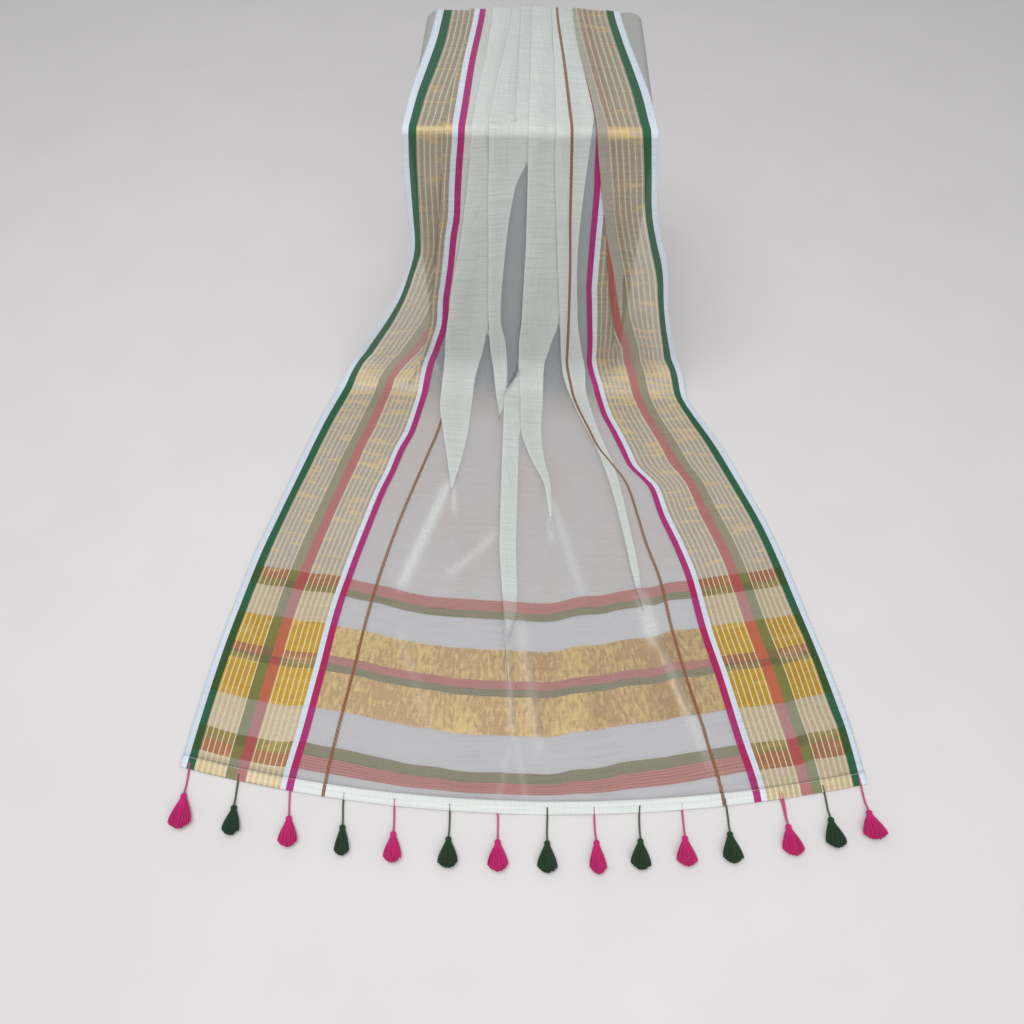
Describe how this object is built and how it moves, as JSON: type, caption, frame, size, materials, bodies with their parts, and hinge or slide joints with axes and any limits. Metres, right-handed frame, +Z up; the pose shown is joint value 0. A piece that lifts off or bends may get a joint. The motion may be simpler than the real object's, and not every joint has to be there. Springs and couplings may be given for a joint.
{
  "type": "saree draped on a display stand",
  "caption": "Sheer cotton saree with zari borders, pleated over a plain display stand, its banded pallu with tassels spread on the floor and the rest folded behind.",
  "frame": {"origin": "centre of the stand's flat underside, on the floor", "axes": "+Z up; the viewer stands in front at -Y, where the pallu is spread; +X to the viewer's right"},
  "size_m": [1.1294, 1.7709, 0.583],
  "materials": {
    "stand": "smooth matt warm grey",
    "cotton": "sheer plain-weave cotton, striped borders",
    "zari": "cotton with woven metallic gold bands",
    "hem": "turned cotton hem",
    "tassel_pink": "magenta thread",
    "tassel_green": "dark green thread"
  },
  "bodies": {
    "root": {"stand": "stand", "saree_folded": "cotton", "saree_back": "cotton", "saree_top": "cotton", "saree_drop": "cotton", "saree_spread": "cotton", "saree_pallu": "zari", "pallu_hem": "hem", "tassel_01": "tassel_pink", "tassel_02": "tassel_green", "tassel_03": "tassel_pink", "tassel_04": "tassel_green", "tassel_05": "tassel_pink", "tassel_06": "tassel_green", "tassel_07": "tassel_pink", "tassel_08": "tassel_green", "tassel_09": "tassel_pink", "tassel_10": "tassel_green", "tassel_11": "tassel_pink", "tassel_12": "tassel_green", "tassel_13": "tassel_pink", "tassel_14": "tassel_green", "tassel_15": "tassel_pink"}
  },
  "joints": []
}
